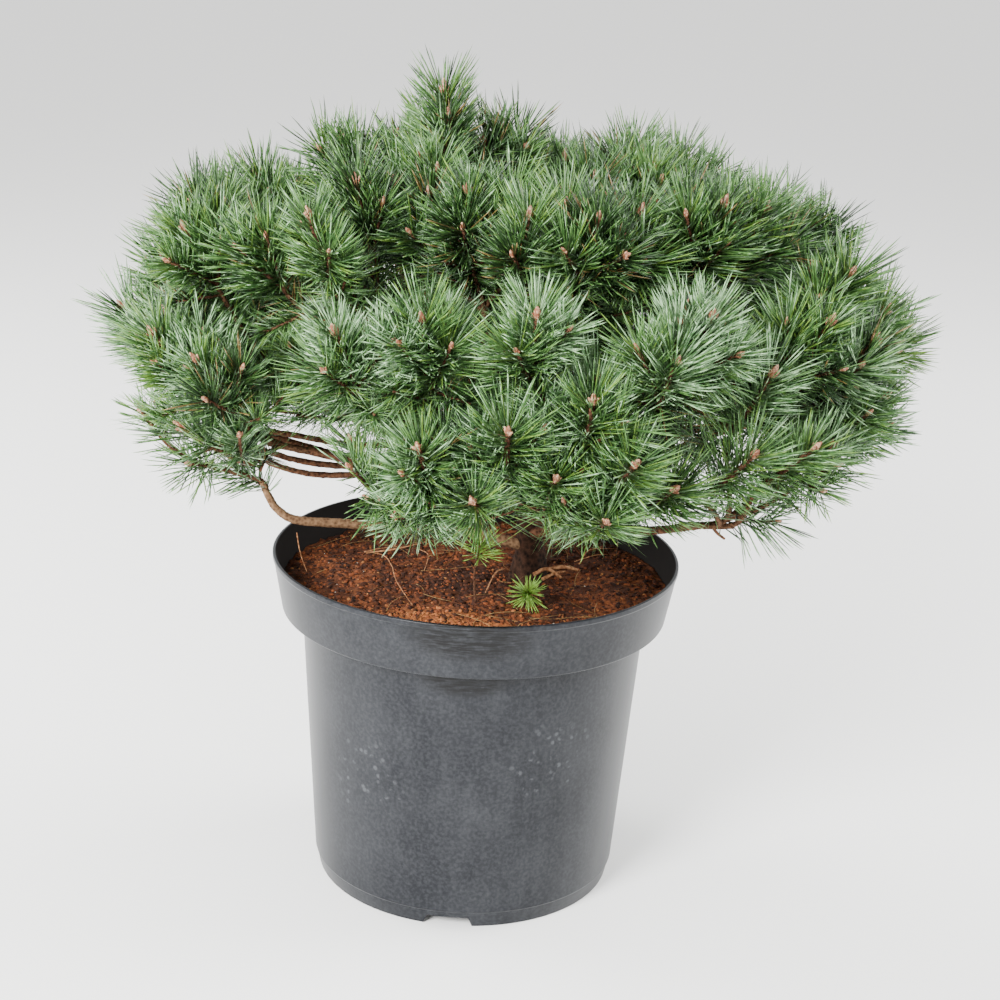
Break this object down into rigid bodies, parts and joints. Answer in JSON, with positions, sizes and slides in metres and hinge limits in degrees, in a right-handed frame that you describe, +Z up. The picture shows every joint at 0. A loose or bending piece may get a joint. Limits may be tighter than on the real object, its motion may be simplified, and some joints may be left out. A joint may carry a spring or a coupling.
{
  "type": "potted scots pine",
  "caption": "Low, broad Scots pine with stiff blue-green needles on a short leaning trunk, rooted in peat in a black plastic nursery pot.",
  "frame": {"origin": "middle of the pot's flat underside, on the surface that the pot stands on", "axes": "+Z straight up along the pot's axis, -Y towards the front of the plant, where the soil and the low left bough show best; +X to the right as seen from the front"},
  "size_m": [0.7436, 0.6429, 0.7377],
  "materials": {
    "pot_plastic": "black injection-moulded polypropylene, slightly dusty",
    "peat": "moist fibrous peat and bark compost",
    "bark": "rough brown young bark",
    "needles": "stiff waxy blue-green needles"
  },
  "bodies": {
    "root": {"pot": "pot_plastic", "soil": "peat", "trunk": "bark", "bough_crown_left": "bark", "bough_crown_front": "bark", "bough_crown_right": "bark", "bough_top_front_left": "bark", "bough_top_front_right": "bark", "bough_top_right": "bark", "bough_top_back_left": "bark", "bough_top_back": "bark", "bough_top_back_right": "bark", "bough_upper_right": "bark", "bough_upper_left": "bark", "bough_side_left": "bark", "bough_mid_front_left": "bark", "bough_mid_front": "bark", "bough_mid_front_right": "bark", "bough_mid_right": "bark", "bough_low_mid_left": "bark", "bough_mid_back_right": "bark", "bough_mid_back_left": "bark", "bough_far_left": "bark", "bough_far_right": "bark", "bough_far_back_right": "bark", "bough_far_back_left": "bark", "bough_low_front_left": "bark", "bough_low_front_right": "bark", "bough_low_right": "bark", "bough_low_left": "bark", "mass_leader": "needles", "mass_crown_left": "needles", "mass_crown_front": "needles", "mass_crown_right": "needles", "mass_top_front_left": "needles", "mass_top_front_right": "needles", "mass_top_right": "needles", "mass_top_back_left": "needles", "mass_top_back": "needles", "mass_top_back_right": "needles", "mass_upper_right": "needles", "mass_upper_left": "needles", "mass_side_left": "needles", "mass_mid_front_left": "needles", "mass_mid_front": "needles", "mass_mid_front_right": "needles", "mass_mid_right": "needles", "mass_low_mid_left": "needles", "mass_mid_back_right": "needles", "mass_mid_back_left": "needles", "mass_far_left": "needles", "mass_far_right": "needles", "mass_far_back_right": "needles", "mass_far_back_left": "needles", "mass_low_front_left": "needles", "mass_low_front_right": "needles", "mass_low_right": "needles", "mass_low_left": "needles", "sprig": "needles"}
  },
  "joints": []
}
